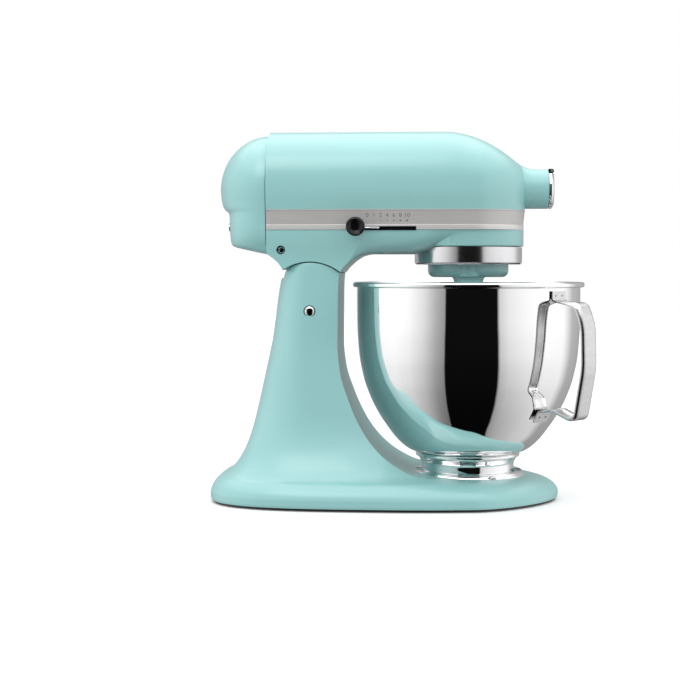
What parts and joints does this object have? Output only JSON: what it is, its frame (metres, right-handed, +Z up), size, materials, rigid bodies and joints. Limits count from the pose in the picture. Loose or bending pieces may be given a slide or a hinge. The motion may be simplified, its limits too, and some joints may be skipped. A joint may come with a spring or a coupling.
{
  "type": "stand mixer",
  "caption": "Tilt-head kitchen stand mixer with a steel bowl, planetary drive, front attachment hub, speed lever and head lock.",
  "frame": {"origin": "on the table below the middle of the object's outer box", "axes": "+X forward to the attachment hub, +Y to the lock lever side, +Z up"},
  "size_m": [0.3647, 0.222, 0.355],
  "materials": {
    "enamel": "gloss",
    "band": "satin",
    "chrome": "mirror",
    "polished_steel": "polished",
    "black_plastic": "gloss",
    "grey_plastic": "matte",
    "rubber": "matte",
    "steel": "satin",
    "laminations": "satin",
    "die_cast": "satin",
    "bronze": "satin",
    "copper": "gloss",
    "board_green": "satin"
  },
  "bodies": {
    "stand": {"base_stand": "enamel", "base_plate": "steel", "rubber_feet": "rubber", "foot_screws": "steel", "bowl_clamp_plate": "polished_steel", "clamp_plate_screws": "steel", "tilt_pin": "chrome"},
    "head": {"motor_housing": "enamel", "rear_cover": "enamel", "rear_cover_screw": "chrome", "side_screws": "chrome", "trim_band": "band", "drip_ring": "chrome", "ring_gear": "steel", "center_bearing": "steel", "counter_bushing": "bronze", "gear_bracket": "die_cast", "motor_field": "laminations", "field_coils": "copper", "front_bracket": "die_cast", "rear_bracket": "die_cast", "motor_bearings": "steel", "brush_holders": "grey_plastic", "carbon_brushes": "laminations", "control_board": "board_green", "hub_bushing": "bronze", "hub_hinge": "black_plastic", "cord_gland": "grey_plastic", "pivot_bushings": "bronze"},
    "armature": {"armature_shaft": "steel", "armature_core": "laminations", "commutator": "copper", "cooling_fan": "grey_plastic", "worm": "steel"},
    "counter_gears": {"countershaft": "steel", "worm_wheel": "bronze", "counter_pinion": "steel"},
    "planetary": {"planetary_housing": "enamel", "center_shaft": "steel", "center_gear": "steel", "center_bevel_gear": "steel", "planetary_pin": "steel"},
    "beater_drive": {"beater_shaft": "steel", "planet_pinion": "steel", "beater_pin": "steel"},
    "hub_drive": {"hub_drive_shaft": "steel", "hub_bevel_gear": "steel"},
    "hub_cover": {"hub_cover": "chrome"},
    "hub_knob": {"hub_knob": "black_plastic", "hub_knob_stud": "steel"},
    "speed_control": {"speed_knob": "black_plastic", "speed_lever": "chrome"},
    "lock": {"lock_lever": "steel", "lock_knob": "black_plastic"},
    "bowl": {"bowl": "polished_steel", "bowl_foot": "polished_steel", "bowl_handle": "polished_steel"}
  },
  "joints": [
    {"name": "head_tilt", "type": "hinge", "parent": "stand", "child": "head", "pos_m": [-0.083, 0, 0.182], "axis": [0, -1, 0], "range_deg": [0, 48]},
    {"name": "bowl_twist", "type": "hinge", "parent": "stand", "child": "bowl", "pos_m": [0.066, 0, 0.035], "axis": [0, 0, 1], "range_deg": [0, 30]},
    {"name": "lock_turn", "type": "hinge", "parent": "stand", "child": "lock", "pos_m": [-0.0635, 0.053, 0.196], "axis": [0, -1, 0], "range_deg": [0, 70]},
    {"name": "planetary_spin", "type": "hinge", "parent": "head", "child": "planetary", "pos_m": [0.066, 0, 0.225], "axis": [0, 0, 1], "continuous": true},
    {"name": "beater_spin", "type": "hinge", "parent": "planetary", "child": "beater_drive", "pos_m": [0.066, -0.0255, 0.225], "axis": [0, 0, 1], "continuous": true},
    {"name": "countershaft_spin", "type": "hinge", "parent": "head", "child": "counter_gears", "pos_m": [0.02472, 0.0245, 0.265], "axis": [0, 0, 1], "continuous": true},
    {"name": "motor_spin", "type": "hinge", "parent": "head", "child": "armature", "pos_m": [0.02472, 0, 0.272], "axis": [1, 0, 0], "continuous": true},
    {"name": "hub_spin", "type": "hinge", "parent": "head", "child": "hub_drive", "pos_m": [0.096, 0, 0.298], "axis": [1, 0, 0], "continuous": true},
    {"name": "hub_cover_hinge", "type": "hinge", "parent": "head", "child": "hub_cover", "pos_m": [0.1449, 0, 0.3149], "axis": [0, -1, 0], "range_deg": [0, 95]},
    {"name": "hub_knob_turn", "type": "hinge", "parent": "head", "child": "hub_knob", "pos_m": [0.13, 0.03, 0.298], "axis": [0, 1, 0], "range_deg": [0, 720]},
    {"name": "speed_slide", "type": "slide", "parent": "head", "child": "speed_control", "axis": [1, 0, 0], "range_m": [0, 0.05]}
  ],
  "couplings": [
    {"joint": "beater_spin", "follows": "planetary_spin", "ratio": -3.8333},
    {"joint": "countershaft_spin", "follows": "planetary_spin", "ratio": -3},
    {"joint": "motor_spin", "follows": "planetary_spin", "ratio": 72},
    {"joint": "hub_spin", "follows": "planetary_spin", "ratio": 1}
  ]
}
